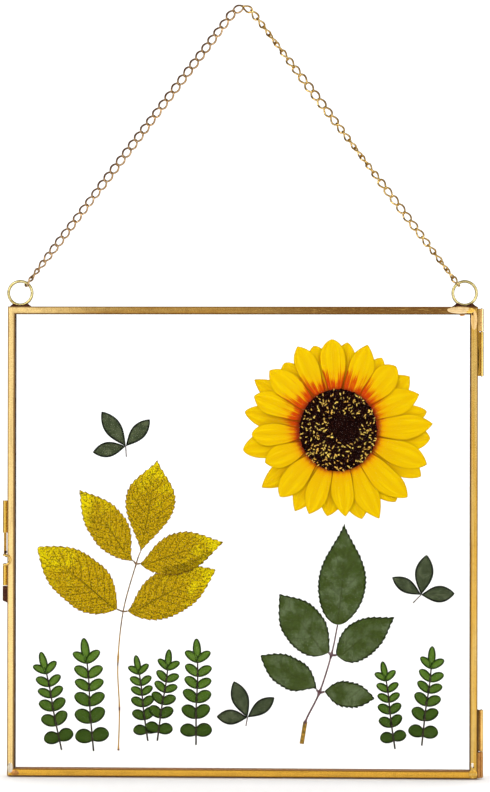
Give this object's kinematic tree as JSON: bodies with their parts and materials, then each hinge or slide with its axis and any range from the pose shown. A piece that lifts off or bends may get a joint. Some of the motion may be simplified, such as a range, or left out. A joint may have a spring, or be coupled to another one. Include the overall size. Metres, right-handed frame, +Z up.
{
  "type": "pressed flower frame",
  "caption": "Square hanging frame of hinged brass-edged glass panes with a pressed sunflower head and pressed leaves between them, hung by a chain and closed by a wire clasp",
  "frame": {"origin": "the hanging point at the top of the chain, midway between the two rings and in the plane where the halves of the frame meet", "axes": "+X to the right across the front, +Y to the back, towards the wall, +Z up"},
  "size_m": [0.2562, 0.0102, 0.4117],
  "materials": {
    "aged_brass": "brushed and a little tarnished",
    "dark_solder": "dark maroon solder",
    "clear_glass": "clear and smooth",
    "yellow_petal": "dry petal, matte",
    "dark_disc": "dry florets, matte",
    "yellow_leaf": "dry leaf, matte",
    "olive_stalk": "dry stalk, matte",
    "green_leaf": "dry leaf, matte",
    "purple_stalk": "dry stalk, matte",
    "grey_green_leaf": "dry leaf, matte",
    "small_green_leaf": "dry leaf, matte"
  },
  "bodies": {
    "back_half": {"back_frame_top": "aged_brass", "back_frame_right": "aged_brass", "back_frame_bottom": "aged_brass", "back_frame_left": "aged_brass", "back_glass": "clear_glass", "left_ring": "aged_brass", "right_ring": "aged_brass", "left_ring_solder": "dark_solder", "right_ring_solder": "dark_solder", "left_chain": "aged_brass", "right_chain": "aged_brass", "upper_hinge_back_knuckle": "aged_brass", "upper_hinge_pin": "aged_brass", "lower_hinge_back_knuckle": "aged_brass", "lower_hinge_pin": "aged_brass", "clasp_upper_barrel": "aged_brass", "clasp_lower_barrel": "aged_brass", "clasp_foot": "dark_solder", "sunflower_back_petals": "yellow_petal", "sunflower_front_petals": "yellow_petal", "sunflower_disc": "dark_disc", "yellow_leaf_stem": "olive_stalk", "yellow_leaflet_tip": "yellow_leaf", "yellow_leaflet_upper_left": "yellow_leaf", "yellow_leaflet_upper_right": "yellow_leaf", "yellow_leaflet_lower_left": "yellow_leaf", "yellow_leaflet_lower_right": "yellow_leaf", "green_leaf_stem": "purple_stalk", "green_leaflet_tip": "green_leaf", "green_leaflet_upper_left": "green_leaf", "green_leaflet_upper_right": "green_leaf", "green_leaflet_lower_left": "green_leaf", "green_leaflet_lower_right": "green_leaf", "three_leaf_sprig_left": "grey_green_leaf", "three_leaf_sprig_right": "grey_green_leaf", "three_leaf_sprig_middle": "grey_green_leaf", "small_sprig_1": "small_green_leaf", "small_sprig_2": "small_green_leaf", "small_sprig_3": "small_green_leaf", "small_sprig_4": "small_green_leaf", "small_sprig_5": "small_green_leaf", "small_sprig_6": "small_green_leaf", "small_sprig_7": "small_green_leaf"},
    "door": {"front_frame_top": "aged_brass", "front_frame_right": "aged_brass", "front_frame_bottom": "aged_brass", "front_frame_left": "aged_brass", "front_glass": "clear_glass", "upper_hinge_front_knuckle": "aged_brass", "lower_hinge_front_knuckle": "aged_brass"},
    "latch": {"clasp_wire": "aged_brass"}
  },
  "joints": [
    {"name": "door_hinge", "type": "hinge", "parent": "back_half", "child": "door", "pos_m": [0.1272, 0, -0.285], "axis": [0, 0, 1], "range_deg": [0, 180]},
    {"name": "latch", "type": "hinge", "parent": "back_half", "child": "latch", "pos_m": [-0.1268, 0.0016, -0.2924], "axis": [0, 0, -1], "range_deg": [0, 110]}
  ]
}
